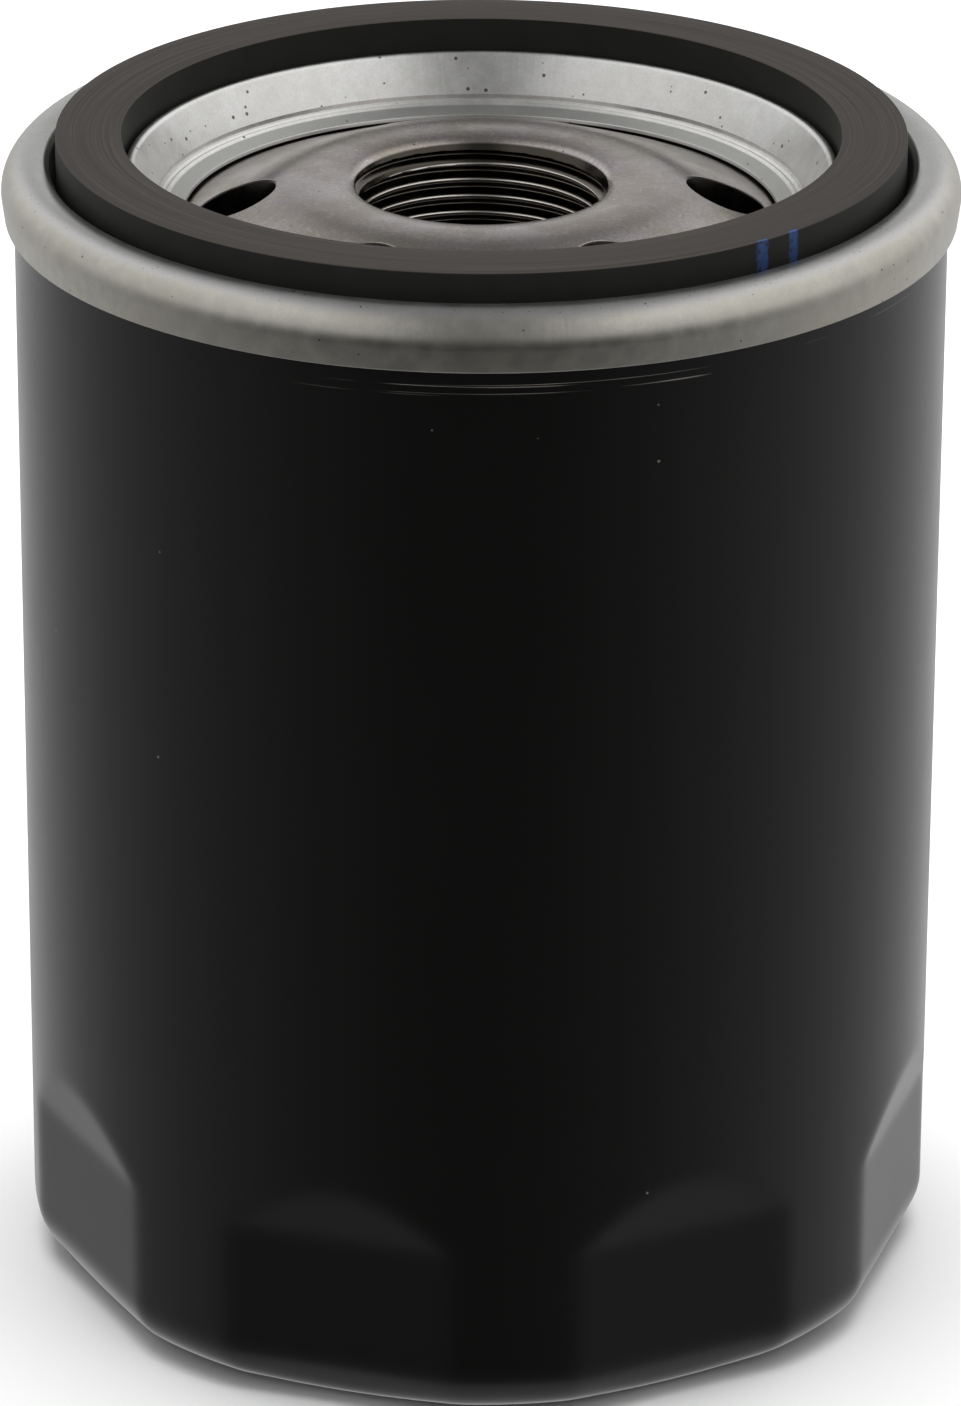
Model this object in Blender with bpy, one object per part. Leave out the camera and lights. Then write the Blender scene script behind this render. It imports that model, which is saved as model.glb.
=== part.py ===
"""Spin-on oil filter: a threaded, sealed can with its filter element, valves and springs inside.

The origin is at the centre of the base and +Z runs up the filter's axis to the gasket. Sizes below are in
millimetres, and every mesh is written in metres. Angles are counter-clockwise from +X, seen from above.
"""

import math

import bmesh
import bpy
from mathutils import Matrix, Vector

MM = 0.001
GAP = 0.3  # left between pieces that touch

# Overall
HEIGHT = 103.3
CAN_R = 39.85
CAN_WALL = 0.6
CAN_TOP_Z = HEIGHT - 4.1
BASE_CORNER_R = 5.1
BASE_RECESS = 1.2
BASE_RECESS_R = 26.0
BASE_RING_R = 27.5
OUTER_STEPS = 48
INNER_STEPS = 32
VALVE_STEPS = 24

# Wrench flats pressed into the closed end
FLATS = 8
FLAT_TURN = math.radians(27.3)
FLAT_HALF_ANGLE = math.radians(15.0)
FLAT_PLANE = CAN_R * math.cos(FLAT_HALF_ANGLE)
FLAT_TOP_Z = 15.8
RAMP_HEIGHT = 5.7
RAMP_SLOPE = (CAN_R - FLAT_PLANE) / RAMP_HEIGHT

# Gasket and lid
GASKET_R = 36.25
GASKET_BORE_R = 30.65
GROOVE_FLOOR_Z = HEIGHT - 6.4
GROOVE_R = 36.75
LID_SHEET = 0.5
RIM_ROLL_R = 2.77
RIM_R = 38.15 + RIM_ROLL_R
RIM_ROLL_Z = HEIGHT - 4.8
RIM_SKIRT_Z = HEIGHT - 6.97
LID_BORE_R = 25.4
LID_BORE_Z = HEIGHT - 6.98

# Threaded plate: M22 x 1.5
THREAD_MAJOR_R = 11.0
THREAD_MINOR_R = 10.2
THREAD_PITCH = 1.5
THREAD_ROWS = 4
THREAD_TURN = math.radians(90.0)
THREAD_CREST_Z = HEIGHT - 8.08
THREAD_TOP_Z = HEIGHT - 6.0
THREAD_MOUTH_Z = HEIGHT - 4.76
COLLAR_R = 13.6
COLLAR_END_Z = HEIGHT - 14.9
PLATE_R = 34.0
PLATE_TOP_Z = HEIGHT - 8.2
PLATE_THICKNESS = 2.6
# The plate's top from the edge of its cone in to the boss, as (radius, depth below the gasket's face)
DOME = (
    (26.0, 8.04), (22.5, 6.64), (20.5, 5.85), (18.5, 5.1),
    (17.2, 4.7), (15.8, 4.43), (13.5, 4.3), (11.6, 4.45),
)
INLETS = 6
INLET_R = 3.3
INLET_CIRCLE_R = 20.9
INLET_TURN = math.radians(1.8)

# Filter element
ELEMENT_R = 33.5
CAP_SHEET = 0.5
TOP_CAP_Z = 83.4
BOTTOM_CAP_Z = 17.0
NECK_TOP_Z = 86.3
NECK_BORE_R = 12.3
CAP_SKIRT = 4.0
ADHESIVE_DEPTH = 1.5
TUBE_R = 16.8
TUBE_WALL = 0.5
TUBE_COLUMNS = 16
TUBE_ROWS = 9
PLEATS = 48
PLEAT_TIP_R = 32.2
PLEAT_ROOT_R = 17.6
PLEAT_DEPTH_OF_PAPER = 4.5  # the paper's thickness, measured along the radius across a steep pleat

# Bypass valve and support spring
SEAT_HOLE_R = 5.5
VALVE_R = 15.8
CAGE_R = 9.9
CAGE_WALL = 0.6
CAGE_TOP_Z = 33.6
WINDOWS = 4
POPPET_R = 8.2
STEM_R = 1.5
STEM_TOP_Z = 35.6
BYPASS_COIL_R = 5.2
BYPASS_WIRE_R = 0.6
BYPASS_TURNS = 5
SUPPORT_COIL_LOW_R = 20.0
SUPPORT_COIL_HIGH_R = 15.5
SUPPORT_WIRE_R = 1.2
SUPPORT_TURNS = 3


def clear_scene():
    for obj in list(bpy.data.objects):
        bpy.data.objects.remove(obj, do_unlink=True)


def material(name, colour, roughness, metallic):
    made = bpy.data.materials.new(name)
    made.use_nodes = True
    shader = made.node_tree.nodes["Principled BSDF"]
    shader.inputs["Base Color"].default_value = (*colour, 1.0)
    shader.inputs["Roughness"].default_value = roughness
    shader.inputs["Metallic"].default_value = metallic
    return made


def place(bm, name, made):
    """Turns a bmesh in millimetres into a named object in metres, with its faces pointing out."""
    bmesh.ops.recalc_face_normals(bm, faces=bm.faces)
    if bm.calc_volume(signed=True) < 0:
        bmesh.ops.reverse_faces(bm, faces=bm.faces)
    bmesh.ops.scale(bm, verts=bm.verts, vec=(MM, MM, MM))
    mesh = bpy.data.meshes.new(name)
    bm.to_mesh(mesh)
    bm.free()
    mesh.shade_smooth()
    mesh.set_sharp_from_angle(angle=math.radians(35))
    mesh.materials.append(made)
    obj = bpy.data.objects.new(name, mesh)
    bpy.context.scene.collection.objects.link(obj)
    return obj


def turned(name, outline, made, steps, radius_at=None, first_angle=FLAT_TURN):
    """Turns a closed outline of (radius, z) points round Z. radius_at reshapes a point's radius by angle."""
    bm = bmesh.new()
    rings = []
    for radius, z in outline:
        if radius == 0:
            rings.append([bm.verts.new((0, 0, z))] * steps)
            continue
        ring = []
        for step in range(steps):
            angle = first_angle + math.tau * step / steps
            r = radius_at(radius, z, angle) if radius_at else radius
            ring.append(bm.verts.new((r * math.cos(angle), r * math.sin(angle), z)))
        rings.append(ring)
    for low, high in zip(rings, rings[1:] + rings[:1]):
        for step in range(steps):
            following = (step + 1) % steps
            corners = [low[step], low[following], high[following], high[step]]
            distinct = list(dict.fromkeys(corners))
            if len(distinct) > 2:
                bm.faces.new(distinct)
    return place(bm, name, made)


def arc(centre, radius, start, end, steps):
    """Points on an arc of an outline, from one angle to the other in degrees."""
    points = []
    for step in range(steps + 1):
        angle = math.radians(start + (end - start) * step / steps)
        points.append((centre[0] + radius * math.cos(angle), centre[1] + radius * math.sin(angle)))
    return points


def coil(name, made, low, high, turns, wire_r, steps_per_turn, sides=6):
    """A helical wire from a low (radius, z) to a high one, closed at both ends."""
    bm = bmesh.new()
    steps = int(turns * steps_per_turn)
    rings = []
    for step in range(steps + 1):
        share = step / steps
        angle = math.tau * turns * share
        radius = low[0] + (high[0] - low[0]) * share
        z = low[1] + (high[1] - low[1]) * share
        outward = Vector((math.cos(angle), math.sin(angle), 0))
        ring = []
        for side in range(sides):
            turn = math.tau * side / sides
            point = outward * (radius + wire_r * math.cos(turn))
            ring.append(bm.verts.new((point.x, point.y, z + wire_r * math.sin(turn))))
        rings.append(ring)
    for ring, following in zip(rings, rings[1:]):
        for side in range(sides):
            after = (side + 1) % sides
            bm.faces.new((ring[side], ring[after], following[after], following[side]))
    bm.faces.new(rings[0])
    bm.faces.new(rings[-1])
    return place(bm, name, made)


def cutter(bm, name, target):
    """Hides a closed bmesh and cuts it from the target."""
    tool = place(bm, name, target.data.materials[0])
    tool.hide_render = True
    tool.display_type = "WIRE"
    cut = target.modifiers.new(name, "BOOLEAN")
    cut.operation = "DIFFERENCE"
    cut.solver = "EXACT"
    cut.object = tool


def flat_radius(radius, z, angle):
    """The can's radius where a wrench flat, or the ramp above it, is pressed in."""
    pitch = math.tau / FLATS
    across = (angle - FLAT_TURN + pitch / 2) % pitch - pitch / 2
    plane = FLAT_PLANE + max(0.0, z - FLAT_TOP_Z) * RAMP_SLOPE
    return min(radius, plane / math.cos(across))


def can_radius(radius, z, angle):
    """The flats on both faces of the sheet: the inner face stays one wall inside the outer one."""
    if radius < CAN_R - BASE_CORNER_R / 2 or abs(radius - CAN_R) < CAN_WALL / 2:
        return flat_radius(radius, z, angle)
    return flat_radius(radius + CAN_WALL, z, angle) - CAN_WALL


def can_shell(paint):
    corner = (CAN_R - BASE_CORNER_R, BASE_CORNER_R)
    inner_corner_r = BASE_CORNER_R - CAN_WALL
    ramp = [FLAT_TOP_Z + RAMP_HEIGHT * share / 3 for share in range(4)]
    outer = [(0, BASE_RECESS), (BASE_RECESS_R, BASE_RECESS), (BASE_RING_R, 0)]
    outer += arc(corner, BASE_CORNER_R, -90, 0, 5)
    outer += [(CAN_R, z) for z in ramp]
    outer += [(CAN_R, CAN_TOP_Z)]
    inner_r = CAN_R - CAN_WALL
    inner = [(inner_r, CAN_TOP_Z)]
    inner += [(inner_r, z) for z in reversed(ramp)]
    inner += arc(corner, inner_corner_r, 0, -90, 4)
    inner += [(BASE_RING_R + 0.4, CAN_WALL), (BASE_RECESS_R, BASE_RECESS + CAN_WALL)]
    inner += [(0, BASE_RECESS + CAN_WALL)]
    return turned("can_shell", outer + inner, paint, OUTER_STEPS, can_radius)


def seaming_lid(plating):
    roll = (RIM_R - RIM_ROLL_R, RIM_ROLL_Z)
    inside_z = GROOVE_FLOOR_Z - LID_SHEET
    upper = [(RIM_R - 0.26, RIM_SKIRT_Z)]
    upper += arc(roll, RIM_ROLL_R, -10, 112, 6)
    upper += [(GROOVE_R, RIM_ROLL_Z + 1.9), (GROOVE_R, GROOVE_FLOOR_Z)]
    upper += [(GASKET_BORE_R - GAP, GROOVE_FLOOR_Z), (GASKET_BORE_R - GAP, GROOVE_FLOOR_Z + 3.2)]
    upper += [(30.0, GROOVE_FLOOR_Z + 3.65), (29.4, GROOVE_FLOOR_Z + 3.3), (27.85, GROOVE_FLOOR_Z + 0.3)]
    upper += [(27.75, GROOVE_FLOOR_Z - 0.1), (LID_BORE_R, LID_BORE_Z)]
    wall_r = GASKET_BORE_R - GAP - LID_SHEET
    lower = [(LID_BORE_R, LID_BORE_Z - LID_SHEET), (28.1, inside_z - 0.1), (28.4, inside_z + 0.8)]
    lower += [(wall_r - 0.4, inside_z + 2.3), (wall_r, inside_z), (GROOVE_R + LID_SHEET, inside_z)]
    lower += arc(roll, RIM_ROLL_R - LID_SHEET, 118, -8, 6)
    lower += [(RIM_R - 0.26 - LID_SHEET, RIM_SKIRT_Z)]
    return turned("seaming_lid", upper + lower, plating, OUTER_STEPS)


def thread_radius(radius, z, angle):
    """A right-hand internal thread where the outline runs down the bore."""
    if radius != THREAD_MINOR_R:
        return radius
    turns = (z - THREAD_CREST_Z) / THREAD_PITCH - (angle - THREAD_TURN) / math.tau
    from_crest = abs((turns + 0.5) % 1.0 - 0.5) * 2
    return THREAD_MINOR_R + (THREAD_MAJOR_R - THREAD_MINOR_R) * min(1.0, from_crest * 1.15)


def tapping_plate(steel):
    rows = round((THREAD_TOP_Z - COLLAR_END_Z) / THREAD_PITCH * THREAD_ROWS)
    bore = [THREAD_TOP_Z + (COLLAR_END_Z - THREAD_TOP_Z) * row / rows for row in range(1, rows)]
    under_z = PLATE_TOP_Z - PLATE_THICKNESS
    outline = [(PLATE_R, under_z), (PLATE_R, PLATE_TOP_Z), (26.5, PLATE_TOP_Z)]
    outline += [(radius, HEIGHT - depth) for radius, depth in DOME]
    outline += [(THREAD_MAJOR_R, THREAD_MOUTH_Z), (THREAD_MINOR_R + 0.4, THREAD_TOP_Z)]
    outline += [(THREAD_MINOR_R, z) for z in bore]
    outline += [(11.1, COLLAR_END_Z), (COLLAR_R, COLLAR_END_Z), (COLLAR_R, HEIGHT - 8.5)]
    outline += [(14.8, HEIGHT - 7.4), (16.6, HEIGHT - 7.6), (24.4, HEIGHT - 9.9), (26.0, under_z)]
    plate = turned("tapping_plate", outline, steel, OUTER_STEPS, thread_radius)
    holes = bmesh.new()
    for hole in range(INLETS):
        angle = INLET_TURN + math.tau * hole / INLETS
        centre = Vector((math.cos(angle), math.sin(angle), 0)) * INLET_CIRCLE_R
        centre.z = PLATE_TOP_Z
        bmesh.ops.create_cone(
            holes, cap_ends=True, segments=16, radius1=INLET_R, radius2=INLET_R, depth=14,
            matrix=Matrix.Translation(centre),
        )
    cutter(holes, "inlet_hole_cutter", plate)
    return plate


def sealing_gasket(rubber):
    low = GROOVE_FLOOR_Z + GAP
    outline = [(GASKET_BORE_R, low), (GASKET_R, low), (GASKET_R, HEIGHT), (GASKET_BORE_R, HEIGHT)]
    return turned("sealing_gasket", outline, rubber, OUTER_STEPS)


def seam_compound_ring(compound):
    low = CAN_TOP_Z + 0.15
    outline = [(39.0, low), (39.5, low), (39.5, low + 0.3), (39.0, low + 0.3)]
    return turned("seam_compound_ring", outline, compound, OUTER_STEPS)


def anti_drainback_valve(rubber):
    hub_z = NECK_TOP_Z + GAP
    lip_z = PLATE_TOP_Z - PLATE_THICKNESS - 0.2
    sleeve_r = COLLAR_R + 0.35
    outline = [(11.6, hub_z), (15.0, hub_z), (17.0, hub_z + 0.7), (26.5, hub_z + 3.8), (29.3, lip_z - 0.5)]
    outline += [(29.0, lip_z), (27.8, lip_z - 0.2), (26.2, lip_z - 0.9), (17.0, hub_z + 1.8)]
    outline += [(15.4, hub_z + 2.4), (15.3, hub_z + 3.8), (sleeve_r, hub_z + 3.8)]
    outline += [(sleeve_r, COLLAR_END_Z - GAP), (11.6, COLLAR_END_Z - GAP)]
    return turned("anti_drainback_valve", outline, rubber, INNER_STEPS)


def element_top_cap(steel):
    under_z = TOP_CAP_Z - CAP_SHEET
    skirt_r = ELEMENT_R - CAP_SHEET
    outline = [(skirt_r, TOP_CAP_Z - CAP_SKIRT), (ELEMENT_R, TOP_CAP_Z - CAP_SKIRT)]
    outline += [(ELEMENT_R, TOP_CAP_Z - 0.4), (skirt_r, TOP_CAP_Z), (18.3, TOP_CAP_Z)]
    outline += [(17.3, TOP_CAP_Z + 0.5), (16.8, NECK_TOP_Z), (NECK_BORE_R, NECK_TOP_Z)]
    outline += [(NECK_BORE_R, NECK_TOP_Z - CAP_SHEET)]
    outline += [(16.3, NECK_TOP_Z - CAP_SHEET), (16.9, TOP_CAP_Z + 0.1), (18.1, under_z), (skirt_r, under_z)]
    return turned("element_top_cap", outline, steel, INNER_STEPS)


def element_bottom_cap(steel):
    inside_z = BOTTOM_CAP_Z + CAP_SHEET
    skirt_r = ELEMENT_R - CAP_SHEET
    outline = [(8.6, BOTTOM_CAP_Z), (skirt_r, BOTTOM_CAP_Z), (ELEMENT_R, BOTTOM_CAP_Z + 0.4)]
    outline += [(ELEMENT_R, BOTTOM_CAP_Z + CAP_SKIRT), (skirt_r, BOTTOM_CAP_Z + CAP_SKIRT)]
    outline += [(skirt_r, inside_z), (8.6, inside_z)]
    return turned("element_bottom_cap", outline, steel, INNER_STEPS)


def adhesive_ring(name, low, plastisol):
    inner_r = TUBE_R + 0.5
    outer_r = ELEMENT_R - CAP_SHEET - 0.4
    high = low + ADHESIVE_DEPTH
    outline = [(inner_r, low), (outer_r, low), (outer_r, high), (inner_r, high)]
    return turned(name, outline, plastisol, INNER_STEPS)


def media_ends():
    """The heights between which the paper stands, clear of the adhesive at each end."""
    low = BOTTOM_CAP_Z + CAP_SHEET + GAP + ADHESIVE_DEPTH + GAP
    high = TOP_CAP_Z - CAP_SHEET - GAP - ADHESIVE_DEPTH - GAP
    return low, high


def pleated_media(paper):
    """A closed zigzag ribbon: each face of the paper has its own tips and roots."""
    bm = bmesh.new()
    rings = []
    faces_of_paper = (
        (PLEAT_TIP_R, PLEAT_ROOT_R + PLEAT_DEPTH_OF_PAPER),
        (PLEAT_TIP_R - PLEAT_DEPTH_OF_PAPER, PLEAT_ROOT_R),
    )
    for z in media_ends():
        for tip_r, root_r in faces_of_paper:
            ring = []
            for fold in range(2 * PLEATS):
                radius = root_r if fold % 2 else tip_r
                angle = math.pi * fold / PLEATS
                ring.append(bm.verts.new((radius * math.cos(angle), radius * math.sin(angle), z)))
            rings.append(ring)
    outer_low, inner_low, outer_high, inner_high = rings
    walls = ((outer_low, outer_high), (outer_high, inner_high), (inner_high, inner_low))
    walls += ((inner_low, outer_low),)
    for first, second in walls:
        for fold in range(2 * PLEATS):
            after = (fold + 1) % (2 * PLEATS)
            bm.faces.new((first[fold], first[after], second[after], second[fold]))
    return place(bm, "pleated_media", paper)


def media_seam_clip(steel):
    """A folded strip over the tip of the pleat on +X: two legs and the web that joins them."""
    low, high = media_ends()
    outline = [(27.5, 0.85), (32.35, 0.85), (32.35, -0.85), (27.5, -0.85)]
    outline += [(27.5, -1.2), (32.7, -1.2), (32.7, 1.2), (27.5, 1.2)]
    bm = bmesh.new()
    base = bm.faces.new([bm.verts.new((x, y, low + 0.5)) for x, y in outline])
    pulled = bmesh.ops.extrude_face_region(bm, geom=[base])
    top = [item for item in pulled["geom"] if isinstance(item, bmesh.types.BMVert)]
    bmesh.ops.translate(bm, verts=top, vec=(0, 0, high - low - 1.0))
    return place(bm, "media_seam_clip", steel)


def centre_tube(steel):
    """A sheet of cells rolled into a tube, with a hole in every other cell of every other row."""
    low = BOTTOM_CAP_Z + CAP_SHEET + GAP
    high = TOP_CAP_Z - CAP_SHEET - GAP
    bm = bmesh.new()
    middle_r = TUBE_R - TUBE_WALL / 2
    rings = []
    for row in range(TUBE_ROWS + 1):
        z = low + (high - low) * row / TUBE_ROWS
        ring = []
        for column in range(TUBE_COLUMNS):
            angle = math.tau * column / TUBE_COLUMNS
            ring.append(bm.verts.new((middle_r * math.cos(angle), middle_r * math.sin(angle), z)))
        rings.append(ring)
    pierced = []
    for row, (below, above) in enumerate(zip(rings, rings[1:])):
        for column in range(TUBE_COLUMNS):
            after = (column + 1) % TUBE_COLUMNS
            face = bm.faces.new((below[column], below[after], above[after], above[column]))
            if row % 2 and (column + row // 2) % 2:
                pierced.append(face)
    bmesh.ops.inset_individual(bm, faces=pierced, thickness=1.3)
    bmesh.ops.delete(bm, geom=pierced, context="FACES")
    bmesh.ops.scale(bm, verts=bm.verts, vec=(MM, MM, MM))
    mesh = bpy.data.meshes.new("centre_tube")
    bm.to_mesh(mesh)
    bm.free()
    mesh.shade_smooth()
    mesh.set_sharp_from_angle(angle=math.radians(35))
    mesh.materials.append(steel)
    obj = bpy.data.objects.new("centre_tube", mesh)
    bpy.context.scene.collection.objects.link(obj)
    wall = obj.modifiers.new("wall", "SOLIDIFY")
    wall.thickness = TUBE_WALL * MM
    wall.offset = 0
    return obj


def bypass_valve_seat(steel):
    low = BOTTOM_CAP_Z + CAP_SHEET + GAP
    outline = [(SEAT_HOLE_R, low), (VALVE_R, low), (VALVE_R, low + 0.8), (7.0, low + 0.8)]
    outline += [(6.4, low + 1.5), (SEAT_HOLE_R, low + 1.5)]
    return turned("bypass_valve_seat", outline, steel, VALVE_STEPS)


def bypass_valve_cage(steel):
    low = BOTTOM_CAP_Z + CAP_SHEET + GAP + 0.8 + GAP
    inner_r = CAGE_R - CAGE_WALL
    guide_r = STEM_R + 0.7
    outline = [(inner_r, low), (VALVE_R, low), (VALVE_R, low + 0.6), (CAGE_R, low + 0.6)]
    outline += [(CAGE_R, CAGE_TOP_Z - 0.4), (CAGE_R - 0.4, CAGE_TOP_Z), (guide_r, CAGE_TOP_Z)]
    outline += [(guide_r, CAGE_TOP_Z - CAGE_WALL), (inner_r, CAGE_TOP_Z - CAGE_WALL)]
    cage = turned("bypass_valve_cage", outline, steel, VALVE_STEPS)
    windows = bmesh.new()
    for window in range(WINDOWS):
        turn = Matrix.Rotation(FLAT_TURN + math.tau * window / WINDOWS, 4, "Z")
        box = Matrix.Translation((CAGE_R, 0, 26.5)) @ Matrix.Diagonal((5, 7.5, 8, 1))
        bmesh.ops.create_cube(windows, size=1, matrix=turn @ box)
    cutter(windows, "cage_window_cutter", cage)
    return cage


def bypass_poppet(brass):
    outline = [(0, 18.4), (3.4, 18.4), (3.4, 19.1), (1.9, 19.3), (1.9, 20.9), (POPPET_R, 20.9)]
    outline += [(POPPET_R, 21.6), (2.2, 21.6), (STEM_R, 22.3), (STEM_R, STEM_TOP_Z - 0.6)]
    outline += [(0.9, STEM_TOP_Z), (0, STEM_TOP_Z)]
    return turned("bypass_poppet", outline, brass, VALVE_STEPS)


def bypass_seal_washer(rubber):
    outline = [(2.2, 19.6), (8.0, 19.6), (8.0, 20.6), (2.2, 20.6)]
    return turned("bypass_seal_washer", outline, rubber, VALVE_STEPS)


def bypass_spring(wire):
    low = (BYPASS_COIL_R, 21.6 + GAP + BYPASS_WIRE_R)
    high = (BYPASS_COIL_R, CAGE_TOP_Z - CAGE_WALL - GAP - BYPASS_WIRE_R)
    return coil("bypass_spring", wire, low, high, BYPASS_TURNS, BYPASS_WIRE_R, 12, sides=5)


def spring_seat(steel):
    high = BOTTOM_CAP_Z - GAP
    low = high - 0.6
    lip_r = SUPPORT_COIL_HIGH_R + SUPPORT_WIRE_R + GAP
    outline = [(9.0, low), (lip_r, low), (lip_r, low - 2.2), (lip_r + 0.6, low - 2.2)]
    outline += [(lip_r + 0.6, high), (9.0, high)]
    return turned("spring_seat", outline, steel, INNER_STEPS)


def support_spring(wire):
    low = (SUPPORT_COIL_LOW_R, BASE_RECESS + CAN_WALL + GAP + SUPPORT_WIRE_R)
    high = (SUPPORT_COIL_HIGH_R, BOTTOM_CAP_Z - GAP - 0.6 - GAP - SUPPORT_WIRE_R)
    return coil("support_spring", wire, low, high, SUPPORT_TURNS, SUPPORT_WIRE_R, 16)


def build():
    clear_scene()
    plated = material("plated_steel", (0.62, 0.62, 0.60), 0.38, 1.0)
    bare = material("bare_steel", (0.46, 0.42, 0.41), 0.42, 1.0)
    spring_wire = material("spring_steel", (0.30, 0.30, 0.31), 0.35, 1.0)
    nitrile = material("black_rubber", (0.045, 0.042, 0.040), 0.75, 0.0)
    plastisol = material("plastisol", (0.72, 0.55, 0.30), 0.55, 0.0)
    can_shell(material("black_paint", (0.010, 0.010, 0.010), 0.25, 0.0))
    seaming_lid(plated)
    tapping_plate(bare)
    sealing_gasket(nitrile)
    seam_compound_ring(material("seam_compound", (0.35, 0.36, 0.38), 0.7, 0.0))
    anti_drainback_valve(nitrile)
    element_top_cap(plated)
    element_bottom_cap(plated)
    adhesive_ring("top_adhesive_ring", TOP_CAP_Z - CAP_SHEET - GAP - ADHESIVE_DEPTH, plastisol)
    adhesive_ring("bottom_adhesive_ring", BOTTOM_CAP_Z + CAP_SHEET + GAP, plastisol)
    pleated_media(material("filter_paper", (0.78, 0.66, 0.42), 0.9, 0.0))
    media_seam_clip(plated)
    centre_tube(plated)
    bypass_valve_seat(plated)
    bypass_valve_cage(plated)
    bypass_poppet(material("brass", (0.72, 0.52, 0.22), 0.3, 1.0))
    bypass_seal_washer(nitrile)
    bypass_spring(spring_wire)
    spring_seat(plated)
    support_spring(spring_wire)


build()
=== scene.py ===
"""The finished look of the spin-on oil filter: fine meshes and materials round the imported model, in metres.

Most pieces are closed outlines turned round the filter's axis. Their corners are (radius, height, rounding)
in millimetres, and MM turns them into metres. Materials work in metres, but for names that end in _mm.
"""

import math
import random

import bmesh
import bpy
from mathutils import Matrix, Vector


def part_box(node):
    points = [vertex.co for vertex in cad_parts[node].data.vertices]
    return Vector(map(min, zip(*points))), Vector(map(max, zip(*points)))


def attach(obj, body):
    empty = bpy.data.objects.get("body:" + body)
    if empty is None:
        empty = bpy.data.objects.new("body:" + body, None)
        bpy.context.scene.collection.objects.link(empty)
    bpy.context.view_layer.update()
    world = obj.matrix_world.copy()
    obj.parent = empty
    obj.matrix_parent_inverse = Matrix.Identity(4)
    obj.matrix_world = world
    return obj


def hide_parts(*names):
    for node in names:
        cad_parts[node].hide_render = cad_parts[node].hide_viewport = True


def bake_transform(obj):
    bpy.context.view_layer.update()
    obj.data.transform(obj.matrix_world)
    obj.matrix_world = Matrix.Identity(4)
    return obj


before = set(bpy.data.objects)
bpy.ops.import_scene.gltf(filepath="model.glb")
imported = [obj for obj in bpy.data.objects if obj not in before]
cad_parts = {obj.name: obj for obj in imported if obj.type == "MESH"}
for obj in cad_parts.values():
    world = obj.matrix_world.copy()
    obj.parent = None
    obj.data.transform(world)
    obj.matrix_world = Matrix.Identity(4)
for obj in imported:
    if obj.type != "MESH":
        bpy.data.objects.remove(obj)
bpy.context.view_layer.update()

MM = 0.001
FINE = 192  # steps round an outer piece
INNER = 96  # steps round an inner piece

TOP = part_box("sealing_gasket")[1].z / MM
CAN_R = 39.85
WALL = 0.6
CORNER_R = 5.1
FLATS = 8
FLAT_TURN = math.radians(27.3)
FLAT_PLANE = CAN_R * math.cos(math.radians(15.0))
FLAT_TOP = 15.8
RAMP_HEIGHT = 5.7
RAMP_SLOPE = (CAN_R - FLAT_PLANE) / RAMP_HEIGHT

THREAD_MINOR_R = 10.15
THREAD_MAJOR_R = 11.0
THREAD_PITCH = 1.5
THREAD_CREST = TOP - 8.08
BORE_EDGE_R = 10.96
BORE_EDGE = TOP - 4.76
COLLAR_END = TOP - 14.9
INLETS = 6
INLET_R = 3.35
INLET_CIRCLE_R = 20.9
INLET_TURN = math.radians(2.0)
DOME_TOP = TOP - 4.28
SHOULDER_R = 16.6
SHOULDER_SPAN = 1.0
DOME_SLOPE = 0.40

GASKET_R = 36.25
GASKET_BORE_R = 30.65
DIAPHRAGM_HUB = TOP - 16.7
DIAPHRAGM_LIP = TOP - 11.0
RAMP_SOCKETS = ("Value", "From Min", "From Max", "To Min", "To Max")


# ---------------------------------------------------------------- mesh tools


def rounded(corners, steps_per_turn=40):
    """The points of a closed outline whose corners are (radius, height) or (radius, height, rounding)."""
    points = []
    count = len(corners)
    for index, corner in enumerate(corners):
        at = Vector(corner[:2])
        rounding = corner[2] if len(corner) > 2 else 0
        before = (Vector(corners[index - 1][:2]) - at).normalized()
        after = (Vector(corners[(index + 1) % count][:2]) - at).normalized()
        half = before.angle(after) / 2
        if rounding <= 0 or abs(half - math.pi / 2) < 0.01:
            points.append((at.x, at.y))
            continue
        centre = at + (before + after).normalized() * rounding / math.sin(half)
        start = at + before * rounding / math.tan(half) - centre
        end = at + after * rounding / math.tan(half) - centre
        sweep = start.angle_signed(end)
        steps = max(2, round(abs(sweep) / math.tau * steps_per_turn))
        for step in range(steps + 1):
            turned = start.copy()
            turned.rotate(Matrix.Rotation(-sweep * step / steps, 2))
            points.append(tuple(centre + turned))
    return points


def finish_mesh(bm, name, material, sharp=32):
    """A smooth-shaded object from a bmesh in millimetres, with its faces pointing out."""
    bmesh.ops.recalc_face_normals(bm, faces=bm.faces)
    if bm.calc_volume(signed=True) < 0:
        bmesh.ops.reverse_faces(bm, faces=bm.faces)
    bmesh.ops.scale(bm, verts=bm.verts, vec=(MM, MM, MM))
    mesh = bpy.data.meshes.new(name)
    bm.to_mesh(mesh)
    bm.free()
    mesh.shade_smooth()
    mesh.set_sharp_from_angle(angle=math.radians(sharp))
    mesh.materials.append(material)
    obj = bpy.data.objects.new(name, mesh)
    bpy.context.scene.collection.objects.link(obj)
    return obj


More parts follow.
